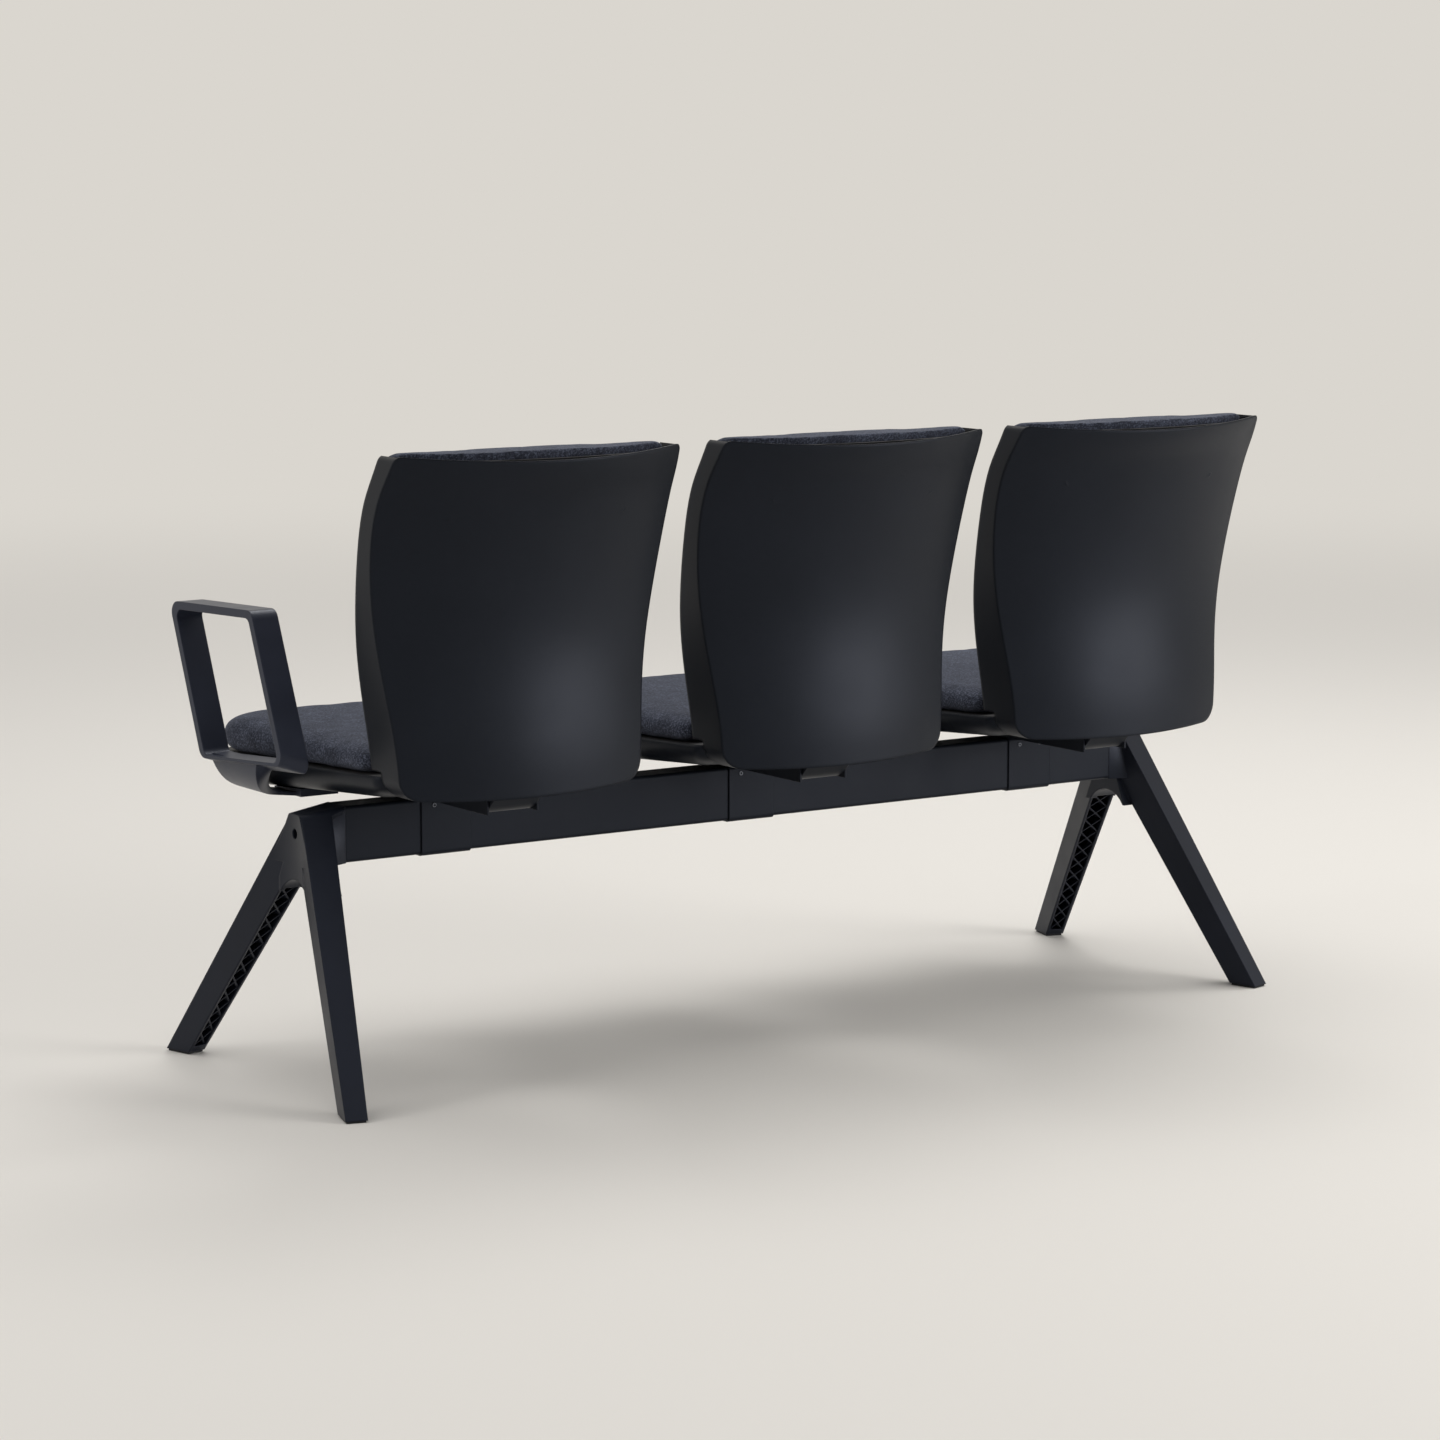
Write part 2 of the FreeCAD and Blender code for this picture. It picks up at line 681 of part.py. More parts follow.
def seat_clearance():
    """The space that the pan needs under the back's side walls."""
    share = 1 + pan_to_shell_gap / seat_rear_half_width
    wire = level_section(pan_outline, share, 300, 0.0)
    return Part.Face(wire).extrude(V(0, 0, side_wall_bottom - 300))


upright_width = bracket_width - 2 * (bracket_wall + fit_clearance)
board_rear = back_wall + back_board_gap
cushion_rear_offset = board_rear + back_board_thickness + cushion_clearance


def make_back_shell():
    """Moulded shell: rear, side and bottom walls, an open front and top, and bosses for the board."""
    outside = back_prism(0.0, back_bottom, back_top, back_bottom_corner, back_top_corner)
    low = back_bottom - back_bottom_sag
    solid = back_slab(0.0, 0.0, low - 5, back_top + 5).common(outside)
    hollow = back_slab(-back_wall, -60.0, low - 5, back_top + 9)
    hollow = hollow.common(back_prism(back_wall, back_bottom + back_wall, back_top + 8,
                                      back_bottom_corner - back_wall, 2.0))
    shell = solid.cut(hollow).cut(seat_clearance())
    half = upright_width / 2 + pan_to_shell_gap
    doorway = block(-half, half, seat_rear - 60, rear_y(back_bottom) - 2 * back_wall,
                    low - 1, back_bottom + back_wall + 1)
    bosses = []
    for x, z in boss_places:
        y1 = rear_y(z) - rear_arc_drop(x)
        bosses.append(Part.makeCylinder(boss_radius, board_rear + 6, V(x, y1 - board_rear - 8, z), V(0, 1, 0)))
    room = back_slab(board_clearance - board_rear, -60.0, back_bottom, back_top)
    bosses = bosses[0].fuse(bosses[1:]).cut(room)
    return shell.cut(doorway).fuse(bosses)


def make_back_board():
    """Curved plywood inside the shell that carries the upholstery."""
    slab = back_slab(-board_rear, -back_board_thickness, back_board_bottom - back_bottom_sag - 8, back_board_top + 8,
                     parallel=True)
    board = slab.common(back_prism(back_wall + 0.5, back_board_bottom, back_board_top, 20.0, 12.0))
    for x, z in back_screw_places:
        board = board.cut(level_hole(x, z, screw_radius + fit_clearance))
    return board


def make_back_cushion():
    """Upholstered pad that fills the shell's front, with rounded front edges."""
    slab = back_slab(-cushion_rear_offset, -back_cushion_proud, back_cushion_bottom - back_bottom_sag - 8,
                     back_cushion_top + 10, back_cushion_proud)
    pad = slab.common(back_prism(back_wall + 0.6, back_cushion_bottom, back_cushion_top, back_cushion_corner,
                                 back_cushion_round + 1.5))
    front = [e for e in pad.Edges if max(abs(v.Y - edge_y(v.Z)) for v in e.Vertexes) < back_cushion_proud + 2
             and not along(e, (0, 1, 0))]
    return pad.Solids[0].makeFillet(back_cushion_round, front)


def level_hole(x, z, radius):
    return Part.makeCylinder(radius, 60, V(x, rear_y(z) - 50, z), V(0, 1, 0))


# The bent bar that carries the back
def upright_face(z):
    """Where the bar's front face stands behind the board."""
    return rear_y(z) - board_rear + board_clearance


def make_upright():
    """A flat bar, welded into the bracket, that bends out under the pan and up inside the back."""
    t = upright_thickness
    low = sleeve_top + fit_clearance
    half = upright_width / 2
    route = [V(0, upright_front, low), V(0, upright_heel, low), V(0, upright_face(upright_low) + t, upright_low - 22),
             V(0, upright_face(upright_top) + t, upright_top)]
    normals = []
    for a, b in zip(route, route[1:]):
        run = (b - a).normalize()
        normals.append(V(0, -run.z, run.y))
    inner = [route[0] + normals[0] * t]
    for point, n0, n1 in zip(route[1:-1], normals, normals[1:]):
        inner.append(point + (n0 + n1) * (t / (1 + n0.dot(n1))))
    inner.append(route[-1] + normals[-1] * t)
    outline = [tuple(p + V(-half, 0, 0)) for p in route + inner[::-1]]
    bar_solid = prism(outline, (upright_width, 0, 0))
    bends = {1: upright_bend_radius + t, 2: upright_bend_radius}
    for i, radius in bends.items():
        for points, r in ((route, radius), (inner, radius - t if i == 1 else radius + t)):
            corner = points[i]
            bar_solid = rounded(bar_solid, r, lambda e: along(e, (1, 0, 0)) and abs(e.CenterOfMass.y - corner.y) < 0.5
                                and abs(e.CenterOfMass.z - corner.z) < 0.5)
    for x, z in back_screw_places:
        bar_solid = bar_solid.cut(level_hole(x, z, screw_radius + fit_clearance))
    return bar_solid


def make_back_screws():
    """Screws through the upright into the board."""
    screws = []
    for x, z in back_screw_places:
        low, high = route_y(z), rear_y(z) - board_rear - back_board_thickness * 0.7
        shank = Part.makeCylinder(screw_radius, low - high, V(x, high, z), V(0, 1, 0))
        head = Part.makeCylinder(screw_head_radius, back_screw_head_height, V(x, low, z), V(0, 1, 0))
        screws.append(shank.fuse(head))
    return Part.makeCompound(screws)


def route_y(z):
    """The straight stretch's rear face."""
    share = (z - upright_low + 22) / (upright_top - upright_low + 22)
    y0, y1 = upright_face(upright_low), upright_face(upright_top)
    return y0 + (y1 - y0) * share + upright_thickness


# Armrest
def arm_corners(x, inset, floor):
    """The corners of the arm's side outline at a place across it, moved in by its walls."""
    slant = arm_lean / (arm_top - arm_bottom)
    side = inset * sqrt(1 + slant ** 2)
    corners = []
    for upper, rear in ((False, False), (False, True), (True, True), (True, False)):
        z = arm_top - inset if upper else arm_bottom + floor
        y = arm_rear_bottom - slant * (z - arm_bottom) - (side if rear else arm_length - side)
        corners.append((x, y, z + y * (arm_top_rise if upper else arm_bottom_rise)))
    return corners


def across(solid, radius):
    """Round the four edges of a wedge that run across the arm."""
    return rounded(solid, radius, lambda e: e.BoundBox.XLength > arm_width / 2)


def arm_loop(outer):
    """A flat band bent into a closed loop, whose floor deepens towards the seat."""
    inner = outer - arm_width
    inner_side = [V(*corner) for corner in arm_corners(inner, 0.0, 0.0)]
    floor_edge = inner_side[1] - inner_side[0]
    front_run, rear_run = inner_side[0] - inner_side[3], inner_side[1] - inner_side[2]
    front_share = arm_inner_drop / -front_run.z
    rear_share = front_share * front_run.cross(floor_edge).x / rear_run.cross(floor_edge).x
    inner_side[0] += front_run * front_share
    inner_side[1] += rear_run * rear_share
    outside = wedge(arm_corners(outer, 0.0, 0.0), [tuple(corner) for corner in inner_side])
    inside = wedge(arm_corners(outer + 5, arm_band, arm_floor), arm_corners(inner - 5, arm_band, arm_floor))
    loop = across(outside, arm_outer_corner).cut(across(inside, arm_inner_corner))
    loop.rotate(V(outer, arm_rear_bottom - arm_length / 2, 0), V(0, 0, 1), arm_toe)
    return loop


def arm_section(x, y0, y1, z, thickness, tilt):
    """A flat section of the arm's neck, square to its path, which tilt turns from down to inwards."""
    half = thickness / 2
    dx, dz = half * cos(tilt), half * sin(tilt)
    corners = [V(x - dx, y0, z + dz), V(x + dx, y0, z - dz), V(x + dx, y1, z - dz), V(x - dx, y1, z + dz)]
    return Part.makePolygon(corners + corners[:1])


def arm_screw_low(y):
    """How far the flange's level underside lies below the pan at a place along Y."""
    return -(pan_underside(y) - pan_underside(arm_flange_front) + arm_flange_thickness)


def make_arm():
    """Cast arm: the loop, and a flared neck that runs in to a flange under the pan."""
    outer = seat_pitch + arm_outer_reach
    flange_x = seat_pitch + arm_flange_reach
    f0, f1 = arm_flange_front, arm_flange_front + arm_flange_length
    flange = under_pan(flange_x - arm_flange_width, flange_x, f0, f1, pan_underside(f0) - arm_flange_thickness)
    thin = arm_flange_thickness * 0.8
    z_flange = pan_underside(f0) - arm_flange_thickness + thin / 2
    sections = [arm_section(outer - 19, f0 + 6, 14, arm_bottom, 28, 0.0),
                arm_section(outer - 22, f0 + 18, 2, arm_bottom - 19, 24, 0.45),
                arm_section(outer - 41, f0 + 12, -30, arm_bottom - 40, 15, 0.9),
                arm_section(outer - 71, f0 + 10, f1 - 8, arm_bottom - 53.5, 7, 1.3),
                arm_section(flange_x - 4, f0 + 8, f1 - 10, z_flange, thin, 1.5)]
    neck = Part.makeLoft(sections, True, False)
    arm = arm_loop(outer).fuse([neck, flange])
    for y in arm_screw_places:
        x, low = seat_pitch + arm_screw_reach, arm_screw_low(y)
        hole = tilted_cylinder(screw_radius + fit_clearance, low - 5, 5, x, y, pan_bottom_rise)
        seat = tilted_cylinder(screw_head_radius + fit_clearance, low - 5, low + screw_head_height, x, y,
                               pan_bottom_rise)
        arm = arm.cut(hole.fuse(seat))
    return arm


def make_arm_screws():
    screws = []
    x = seat_pitch + arm_screw_reach
    for y in arm_screw_places:
        low = arm_screw_low(y) + screw_head_height
        shank = tilted_cylinder(screw_radius, low, pan_wall + 4, x, y, pan_bottom_rise)
        head = tilted_cylinder(screw_head_radius, low - screw_head_height + 0.5, low, x, y, pan_bottom_rise)
        screws.append(shank.fuse(head))
    return Part.makeCompound(screws)


chair = {"seat_board": make_seat_board(), "seat_cushion": make_seat_cushion(),
         "beam_sleeve": make_sleeve(), "set_screws": make_set_screws(), "seat_bracket": make_bracket(),
         "seat_screws": make_seat_screws(), "back_upright": make_upright(), "back_shell": make_back_shell(),
         "back_board": make_back_board(), "back_cushion": make_back_cushion(), "back_screws": make_back_screws()}
for side, x in chairs.items():
    parts["seat_pan_" + side] = moved(make_pan(x / seat_pitch), x)
    for name, shape in chair.items():
        parts[name + "_" + side] = moved(shape, x)
end_pieces["arm"] = make_arm()
end_pieces["arm_screws"] = make_arm_screws()

for name, shape in end_pieces.items():
    parts[name + "_left"] = shape
    parts[name + "_right"] = mirrored(shape)

# The origin lies midway between the front feet and the top of the backs.
foot_y = limb_point("front", limb_far("front", foot_low), limb_width(foot_low), foot_low)[1]
middle_y = (foot_y + rear_y(back_top)) / 2

for name, shape in parts.items():
    print(name, shape.isValid(), shape.ShapeType, len(shape.Solids), len(shape.Faces), round(shape.Volume))
    moved(shape, y=-middle_y).exportStep("parts/%s.step" % name)
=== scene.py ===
import bpy
import math
from mathutils import Matrix, Vector


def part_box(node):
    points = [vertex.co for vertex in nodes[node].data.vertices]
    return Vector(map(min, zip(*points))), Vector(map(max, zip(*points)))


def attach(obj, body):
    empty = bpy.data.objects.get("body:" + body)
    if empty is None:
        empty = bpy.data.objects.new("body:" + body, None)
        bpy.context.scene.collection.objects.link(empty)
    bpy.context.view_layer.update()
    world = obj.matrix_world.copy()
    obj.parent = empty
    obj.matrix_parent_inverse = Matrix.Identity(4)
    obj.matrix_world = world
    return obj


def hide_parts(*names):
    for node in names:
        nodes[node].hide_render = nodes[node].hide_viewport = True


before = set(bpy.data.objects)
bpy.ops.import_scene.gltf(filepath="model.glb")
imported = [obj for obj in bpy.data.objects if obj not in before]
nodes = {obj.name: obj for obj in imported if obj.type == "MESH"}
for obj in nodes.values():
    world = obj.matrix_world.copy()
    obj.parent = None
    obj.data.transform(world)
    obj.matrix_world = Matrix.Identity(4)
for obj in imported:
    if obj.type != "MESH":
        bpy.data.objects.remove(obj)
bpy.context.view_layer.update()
seatSides = ("left", "middle", "right")
mm = 0.001
bpy.ops.object.select_all(action="DESELECT")


# Materials

def colour(text):
    # sRGB hex to linear
    parts = [int(text[i:i + 2], 16) / 255 for i in (1, 3, 5)]
    return tuple(c / 12.92 if c <= 0.04045 else ((c + 0.055) / 1.055) ** 2.4 for c in parts) + (1.0,)


def addNode(tree, kind, settings=None, links=None):
    node = tree.nodes.new(kind)
    for name, value in (settings or {}).items():
        if isinstance(name, int) or not hasattr(node, name):
            node.inputs[name].default_value = value
        else:
            setattr(node, name, value)
    for name, source in (links or {}).items():
        tree.links.new(source, node.inputs[name])
    return node


def startMaterial(name):
    material = bpy.data.materials.new(name)
    material.use_nodes = True
    tree = material.node_tree
    tree.nodes.clear()
    place = addNode(tree, "ShaderNodeTexCoord").outputs["Object"]
    return material, tree, place


def twoTones(tree, look, amount):
    # inputs 6 and 7 of a colour Mix are its two colours, and output 2 the mixed one
    tint = addNode(tree, "ShaderNodeMix",
                   {"data_type": "RGBA", 6: colour(look["dark"]), 7: colour(look["light"])},
                   {"Factor": amount})
    return tint.outputs[2]


coatings = {
    # polypropylene from a finely etched mould: satin, near black with a blue cast, generous edge radii
    "mouldedPolypropylene": {"dark": "#0f1217", "light": "#15181e", "patch": 120 * mm, "grain": 0.9 * mm,
                             "edge": 6 * mm, "smooth": 0.36, "rough": 0.42, "relief": 0.18,
                             "specular": 0.22, "cast": "#bcc2d4"},
    # powder coat on drawn steel tube: a faint orange-peel texture
    "powderCoatedSteel": {"dark": "#101318", "light": "#161920", "patch": 80 * mm, "grain": 1.8 * mm,
                          "edge": 1.5 * mm, "smooth": 0.40, "rough": 0.50, "relief": 0.16,
                          "specular": 0.22, "cast": "#bcc2d4"},
    # powder coat on die-cast aluminium: a little smoother over the casting skin, soft cast edges
    "powderCoatedCasting": {"dark": "#14171e", "light": "#1b1e27", "patch": 70 * mm, "grain": 1.5 * mm,
                            "edge": 3 * mm, "smooth": 0.34, "rough": 0.44, "relief": 0.14,
                            "specular": 0.28, "cast": "#bcc2d4"},
    # satin coat on the cast arm, a shade lighter and bluer
    "satinCoatedArm": {"dark": "#282b35", "light": "#323643", "patch": 60 * mm, "grain": 1.3 * mm,
                       "edge": 2.5 * mm, "smooth": 0.36, "rough": 0.44, "relief": 0.12,
                       "specular": 0.35, "cast": "#c4c9d8"},
    # black nylon glide under the foot
    "nylonGlide": {"dark": "#101114", "light": "#17181b", "patch": 20 * mm, "grain": 0.6 * mm,
                   "edge": 1 * mm, "smooth": 0.5, "rough": 0.6, "relief": 0.1,
                   "specular": 0.3, "cast": "#ffffff"},
}


def coatedSurface(name, look):
    # a smooth mass colour, slightly uneven in shade and gloss, with a fine raised grain
    material, tree, place = startMaterial(name)
    cloud = addNode(tree, "ShaderNodeTexNoise", {"Scale": 1 / look["patch"], "Detail": 3.0},
                    {"Vector": place})
    grain = addNode(tree, "ShaderNodeTexNoise", {"Scale": 1 / look["grain"], "Detail": 2.0},
                    {"Vector": place})
    gloss = addNode(tree, "ShaderNodeMapRange",
                    {"From Min": 0.3, "From Max": 0.7, "To Min": look["smooth"], "To Max": look["rough"]},
                    {"Value": cloud.outputs["Fac"]})
    softEdge = addNode(tree, "ShaderNodeBevel", {"samples": 6, "Radius": look["edge"]})
    raised = addNode(tree, "ShaderNodeBump", {"Strength": look["relief"], "Distance": 0.1 * mm},
                     {"Height": grain.outputs["Fac"], "Normal": softEdge.outputs["Normal"]})
    shader = addNode(tree, "ShaderNodeBsdfPrincipled",
                     {"IOR": 1.5, "Specular IOR Level": look["specular"],
                      "Specular Tint": colour(look["cast"])},
                     {"Base Color": twoTones(tree, look, cloud.outputs["Fac"]),
                      "Roughness": gloss.outputs["Result"], "Normal": raised.outputs["Normal"]})
    addNode(tree, "ShaderNodeOutputMaterial", {}, {"Surface": shader.outputs["BSDF"]})
    return material


screw = {"metal": "#4b4d52", "spot": 1.2 * mm, "smooth": 0.28, "rough": 0.48}


def zincScrew():
    # dark zinc-plated steel, slightly uneven from the barrel
    material, tree, place = startMaterial("darkZincScrew")
    spots = addNode(tree, "ShaderNodeTexNoise", {"Scale": 1 / screw["spot"], "Detail": 2.0},
                    {"Vector": place})
    gloss = addNode(tree, "ShaderNodeMapRange", {"To Min": screw["smooth"], "To Max": screw["rough"]},
                    {"Value": spots.outputs["Fac"]})
    shader = addNode(tree, "ShaderNodeBsdfPrincipled",
                     {"Base Color": colour(screw["metal"]), "Metallic": 1.0},
                     {"Roughness": gloss.outputs["Result"]})
    addNode(tree, "ShaderNodeOutputMaterial", {}, {"Surface": shader.outputs["BSDF"]})
    return material


# the grain runs along the beam: fibres some 55 mm long and 6 mm apart
plywood = {"dark": "#131316", "light": "#1f1e20", "along": 18.0, "across": 160.0, "rough": 0.6}


def stainedPlywood():
    # beech ply stained black, seen only as a thin line under the upholstery: long fine grain
    material, tree, place = startMaterial("stainedPlywood")
    stretch = addNode(tree, "ShaderNodeMapping",
                      {"Scale": (plywood["along"], plywood["across"], plywood["across"])}, {"Vector": place})
    fibre = addNode(tree, "ShaderNodeTexNoise", {"Scale": 1.0, "Detail": 5.0},
                    {"Vector": stretch.outputs["Vector"]})
    shader = addNode(tree, "ShaderNodeBsdfPrincipled", {"Roughness": plywood["rough"]},
                     {"Base Color": twoTones(tree, plywood, fibre.outputs["Fac"])})
    addNode(tree, "ShaderNodeOutputMaterial", {}, {"Surface": shader.outputs["BSDF"]})
    return material


weave = {"thread": 1.6 * mm, "fleck": 2.6 * mm, "blotch": 22 * mm, "blotchShare": 0.16,
         "tones": ((0.40, "#1b1e26"), (0.57, "#2d303b"), (0.74, "#5a5f6e")),
         "threadDepth": -0.7, "relief": 0.55, "height": 0.5 * mm, "rough": 0.92, "specular": 0.2,
         "nap": 0.25, "napRough": 0.5, "napTint": "#8f94a2"}


def melangeCloth():
    # felted wool-blend cloth of mixed yarns: flecked slate blue-grey, matt with a soft nap
    # the threads are drawn about twice as coarse as they are, so that they show
    material, tree, place = startMaterial("melangeWoolCloth")
    yarn = addNode(tree, "ShaderNodeTexVoronoi", {"Scale": 1 / weave["thread"], "feature": "F1"},
                   {"Vector": place})
    fleck = addNode(tree, "ShaderNodeTexNoise",
                    {"Scale": 1 / weave["fleck"], "Detail": 4.0, "Roughness": 0.7}, {"Vector": place})
    blotch = addNode(tree, "ShaderNodeTexNoise", {"Scale": 1 / weave["blotch"], "Detail": 2.0},
                     {"Vector": place})
    mixed = addNode(tree, "ShaderNodeMath", {"operation": "MULTIPLY_ADD", 1: weave["blotchShare"]},
                    {0: blotch.outputs["Fac"], 2: fleck.outputs["Fac"]})
    ramp = addNode(tree, "ShaderNodeValToRGB", {}, {"Fac": mixed.outputs["Value"]})
    stops = ramp.color_ramp.elements
    stops.new(0.5)
    for stop, (position, tone) in zip(stops, weave["tones"]):
        stop.position = position
        stop.color = colour(tone)
    height = addNode(tree, "ShaderNodeMath", {"operation": "MULTIPLY_ADD", 1: weave["threadDepth"]},
                     {0: yarn.outputs["Distance"], 2: fleck.outputs["Fac"]})
    raised = addNode(tree, "ShaderNodeBump", {"Strength": weave["relief"], "Distance": weave["height"]},
                     {"Height": height.outputs["Value"]})
    shader = addNode(tree, "ShaderNodeBsdfPrincipled",
                     {"Roughness": weave["rough"], "Specular IOR Level": weave["specular"],
                      "Sheen Weight": weave["nap"], "Sheen Roughness": weave["napRough"],
                      "Sheen Tint": colour(weave["napTint"])},
                     {"Base Color": ramp.outputs["Color"], "Normal": raised.outputs["Normal"]})
    addNode(tree, "ShaderNodeOutputMaterial", {}, {"Surface": shader.outputs["BSDF"]})
    return material


finishes = {name: coatedSurface(name, look) for name, look in coatings.items()}
finishes["darkZincScrew"] = zincScrew()
finishes["stainedPlywood"] = stainedPlywood()
finishes["melangeWoolCloth"] = melangeCloth()

# what each kind of node is finished with; the rest are screws and bolts
wears = {"seat_pan": "mouldedPolypropylene", "back_shell": "mouldedPolypropylene",
         "seat_board": "stainedPlywood", "back_board": "stainedPlywood",
         "beam_tube": "powderCoatedSteel", "beam_sleeve": "powderCoatedSteel",
         "beam_plug": "powderCoatedSteel", "seat_bracket": "powderCoatedSteel",
         "back_upright": "powderCoatedSteel", "leg": "powderCoatedCasting",
         "arm": "satinCoatedArm", "foot_glides": "nylonGlide",
         "seat_cushion": "melangeWoolCloth", "back_cushion": "melangeWoolCloth"}


def dress(piece, finish):
    piece.data.materials.clear()
    piece.data.materials.append(finishes[finish])


for name, node in nodes.items():
    kind, side = name.rsplit("_", 1)
    dress(node, wears.get(kind if side in seatSides else name, "darkZincScrew"))
print("materials made:", len(finishes))


# Back shells: the moulded top rim dips in the middle, and its corners are eased

shells = {"dip": 11 * mm, "reach": 70 * mm, "corner": 16 * mm, "ease": 6 * mm}


def makeShell(side):
    # the node's own smooth normals are kept, because the moves are small
    nodeName = "back_shell_" + side
    piece = bpy.data.objects.new("mouldedShell_" + side, nodes[nodeName].data.copy())
    bpy.context.scene.collection.objects.link(piece)
    low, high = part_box(nodeName)
    centre, half, top = (low[0] + high[0]) / 2, (high[0] - low[0]) / 2, high[2]
    for vertex in piece.data.vertices:
        place = vertex.co
        near = max(0.0, 1 - (top - place.z) / shells["reach"])
        near = near * near * (3 - 2 * near)
        out = min(1.0, abs(place.x - centre) / half)
        place.z -= shells["dip"] * near * (1 - out * out)
        edge = max(0.0, (abs(place.x - centre) - half + shells["corner"]) / shells["corner"])
        place.z -= shells["ease"] * near * edge * edge
    dress(piece, "mouldedPolypropylene")
    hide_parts(nodeName)
    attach(piece, "root")


for side in seatSides:
    makeShell(side)
print("shells made:", len(seatSides))


# Cushions: each starts from its solid, and a short cloth simulation fills the cover

cushions = {
    "seat_cushion": {"name": "seatUpholstery", "voxel": 6 * mm, "shrink": 2.0 * mm, "pressure": 4.0,
                     "travel": 4.0 * mm, "fill": 0.75},
    "back_cushion": {"name": "backUpholstery", "voxel": 6 * mm, "shrink": 1.5 * mm, "pressure": 4.0,
                     "travel": 2.5 * mm, "fill": 0.75},
}
simulation = {"frames": 20, "quality": 5}


def selectOnly(piece):
    bpy.ops.object.select_all(action="DESELECT")
    piece.select_set(True)
    bpy.context.view_layer.objects.active = piece


def copyOfNode(nodeName, pieceName):
    piece = bpy.data.objects.new(pieceName, nodes[nodeName].data.copy())
    bpy.context.scene.collection.objects.link(piece)
    selectOnly(piece)
    bpy.ops.object.mode_set(mode="EDIT")
    bpy.ops.mesh.select_all(action="SELECT")
    bpy.ops.mesh.remove_doubles(threshold=0.02 * mm)
    bpy.ops.object.mode_set(mode="OBJECT")
    return piece


def applyModifier(piece, kind, **settings):
    modifier = piece.modifiers.new(kind.lower(), kind)
    for name, value in settings.items():
        setattr(modifier, name, value)
    selectOnly(piece)
    bpy.ops.object.modifier_apply(modifier=modifier.name)


def inflate(piece, look):
    # pressure swells the cover, and no point may travel further than the filling lets it
    rest = [v.co.copy() for v in piece.data.vertices]
    cloth = piece.modifiers.new("filling", "CLOTH")
    cloth.settings.use_pressure = True
    cloth.settings.uniform_pressure_force = look["pressure"]
    cloth.settings.effector_weights.gravity = 0.0
    cloth.settings.quality = simulation["quality"]
    cloth.point_cache.frame_start, cloth.point_cache.frame_end = 1, simulation["frames"]
    for step in range(1, simulation["frames"] + 1):
        bpy.context.scene.frame_set(step)
    shaped = piece.evaluated_get(bpy.context.evaluated_depsgraph_get())
    swollen = [v.co.copy() for v in shaped.data.vertices]
    piece.modifiers.remove(cloth)
    bpy.context.scene.frame_set(1)
    for vertex, start, end in zip(piece.data.vertices, rest, swollen):
        move = end - start
        if move.length > look["travel"]:
            move *= look["travel"] / move.length
        vertex.co = start + move


def fillCushion(kind):
    look = cushions[kind]
    piece = copyOfNode(kind + "_middle", look["name"] + "_middle")
    applyModifier(piece, "REMESH", mode="VOXEL", voxel_size=look["voxel"], use_smooth_shade=True)
    applyModifier(piece, "SMOOTH", factor=0.5, iterations=4)
    applyModifier(piece, "DISPLACE", strength=-look["shrink"], mid_level=0.0)
    inflate(piece, look)
    applyModifier(piece, "SMOOTH", factor=0.5, iterations=2)
    applyModifier(piece, "SUBSURF", levels=1, render_levels=1)
    selectOnly(piece)
    bpy.ops.object.shade_smooth()
    return piece


def placeCushion(piece, kind, side):
    dress(piece, "melangeWoolCloth")
    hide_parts(kind + "_" + side)
    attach(piece, "root")


# one cushion of each kind is filled; the others are the same, a seat's pitch away
for kind in cushions:
    first = fillCushion(kind)
    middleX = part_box(kind + "_middle")[0][0]
    for side in ("left", "right"):
        twin = bpy.data.objects.new(cushions[kind]["name"] + "_" + side, first.data.copy())
        bpy.context.scene.collection.objects.link(twin)
        twin.data.transform(Matrix.Translation((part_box(kind + "_" + side)[0][0] - middleX, 0, 0)))
        placeCushion(twin, kind, side)
    placeCushion(first, kind, "middle")
    print("cushions made:", kind)


# Studio: pale floor, soft light from above, camera at the photograph's angle

studio = {"floor": "#dedad3", "backdrop": "#dad6cf", "floorSize": 120.0, "near": 3.0, "far": 9.0,
          "air": "#f2f2f4", "ambient": 0.42, "sun": 1.05, "sunSpread": 75.0, "sunTilt": (12.0, 6.0)}
panels = {
    "rearSoftbox": {"power": 170.0, "size": (2.6, 3.2), "place": (-3.2, 4.0, 1.4), "aim": (0.0, 0.0, 0.6)},
    "sideStrip": {"power": 25.0, "size": (0.5, 2.4), "place": (4.6, -0.4, 2.0), "aim": (0.0, 0.0, 0.5)},
    "topPanel": {"power": 70.0, "size": (2.4, 1.2), "place": (-2.2, -1.6, 4.3), "aim": (0.0, 0.0, 0.5)},
}


def seenOrMirrored(tree):
    # 1 for what the camera sees itself or in glossy and clear surfaces, and 0 for light on the object
    rays = addNode(tree, "ShaderNodeLightPath")
    mirrored = addNode(tree, "ShaderNodeMath", {"operation": "MAXIMUM"},
                       {0: rays.outputs["Is Glossy Ray"], 1: rays.outputs["Is Transmission Ray"]})
    direct = addNode(tree, "ShaderNodeMath", {"operation": "MAXIMUM"},
                     {0: rays.outputs["Is Camera Ray"], 1: mirrored.outputs["Value"]})
    return direct.outputs["Value"]


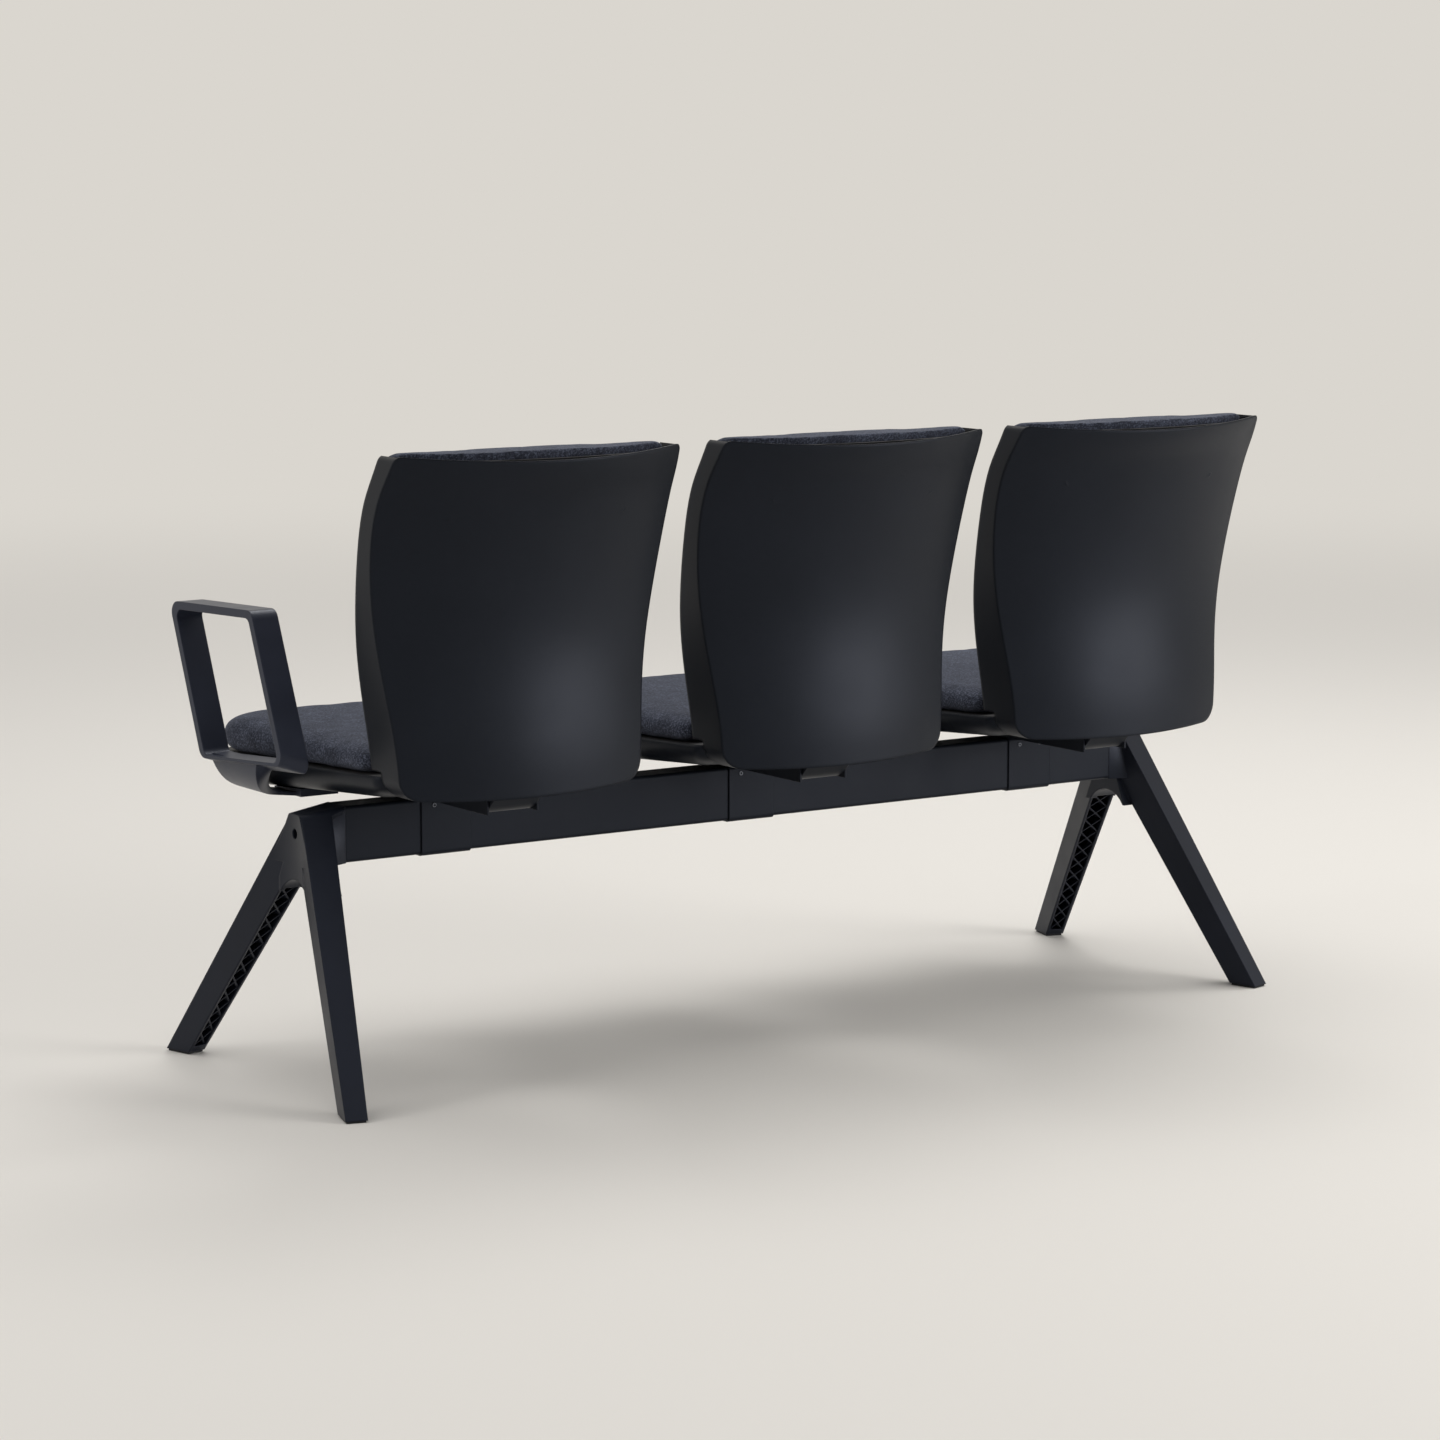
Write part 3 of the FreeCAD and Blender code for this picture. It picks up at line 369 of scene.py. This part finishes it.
def makeFloor():
    # the floor keeps the shadow; far away the camera sees it melt into the backdrop
    bpy.ops.mesh.primitive_plane_add(size=studio["floorSize"])
    floor = bpy.context.active_object
    floor.name = "studioFloor"
    material, tree, place = startMaterial("studioFloor")
    paint = addNode(tree, "ShaderNodeBsdfDiffuse", {"Color": colour(studio["floor"])})
    haze = addNode(tree, "ShaderNodeEmission", {"Color": colour(studio["backdrop"]), "Strength": 1.0})
    reach = addNode(tree, "ShaderNodeVectorMath", {"operation": "LENGTH"}, {0: place})
    fade = addNode(tree, "ShaderNodeMapRange",
                   {"interpolation_type": "SMOOTHSTEP", "From Min": studio["near"], "From Max": studio["far"]},
                   {"Value": reach.outputs["Value"]})
    share = addNode(tree, "ShaderNodeMath", {"operation": "MULTIPLY"},
                    {0: fade.outputs["Result"], 1: seenOrMirrored(tree)})
    mixed = addNode(tree, "ShaderNodeMixShader", {},
                    {"Fac": share.outputs["Value"], 1: paint.outputs["BSDF"], 2: haze.outputs["Emission"]})
    addNode(tree, "ShaderNodeOutputMaterial", {}, {"Surface": mixed.outputs["Shader"]})
    floor.data.materials.append(material)


def makeWorld():
    world = bpy.data.worlds.new("studio")
    bpy.context.scene.world = world
    world.use_nodes = True
    tree = world.node_tree
    tree.nodes.clear()
    soft = addNode(tree, "ShaderNodeBackground",
                   {"Color": colour(studio["air"]), "Strength": studio["ambient"]})
    seen = addNode(tree, "ShaderNodeBackground", {"Color": colour(studio["backdrop"]), "Strength": 1.0})
    either = addNode(tree, "ShaderNodeMixShader", {},
                     {"Fac": seenOrMirrored(tree), 1: soft.outputs["Background"],
                      2: seen.outputs["Background"]})
    addNode(tree, "ShaderNodeOutputWorld", {}, {"Surface": either.outputs["Shader"]})


def hangLamp(name, kind, power):
    data = bpy.data.lights.new(name, kind)
    data.energy = power
    lamp = bpy.data.objects.new(name, data)
    bpy.context.scene.collection.objects.link(lamp)
    return lamp


makeFloor()
makeWorld()
sun = hangLamp("overheadSoftbox", "SUN", studio["sun"])
sun.data.angle = math.radians(studio["sunSpread"])
sun.rotation_euler = (math.radians(studio["sunTilt"][0]), math.radians(studio["sunTilt"][1]), 0)
for name, look in panels.items():
    lamp = hangLamp(name, "AREA", look["power"])
    lamp.data.shape = "RECTANGLE"
    lamp.data.size, lamp.data.size_y = look["size"]
    lamp.location = look["place"]
    toward = Vector(look["aim"]) - Vector(look["place"])
    lamp.rotation_euler = toward.to_track_quat("-Z", "Y").to_euler()

# turn and pitch are radians: how far the view is swung from straight behind, and how far it looks down
view = {"lens": 101.31, "sensor": 36.0, "turn": 0.5869, "pitch": 0.1423, "place": (3.2453, 4.79789, 1.2739),
        "clip": 200.0}


def makeCamera():
    data = bpy.data.cameras.new("camera")
    data.sensor_width = view["sensor"]
    data.lens = view["lens"]
    data.clip_end = view["clip"]
    camera = bpy.data.objects.new("camera", data)
    bpy.context.scene.collection.objects.link(camera)
    turn, pitch = view["turn"], view["pitch"]
    right = Vector((-math.cos(turn), math.sin(turn), 0.0))
    level = Vector((-math.sin(turn), -math.cos(turn), 0.0))
    up = level * math.sin(pitch) + Vector((0, 0, math.cos(pitch)))
    back = -(level * math.cos(pitch) - Vector((0, 0, math.sin(pitch))))
    camera.matrix_world = Matrix.Translation(view["place"]) @ Matrix((right, up, back)).transposed().to_4x4()
    bpy.context.scene.camera = camera


makeCamera()
bpy.context.scene.view_settings.view_transform = "Standard"
print("studio made:", 1 + len(panels), "lamps")
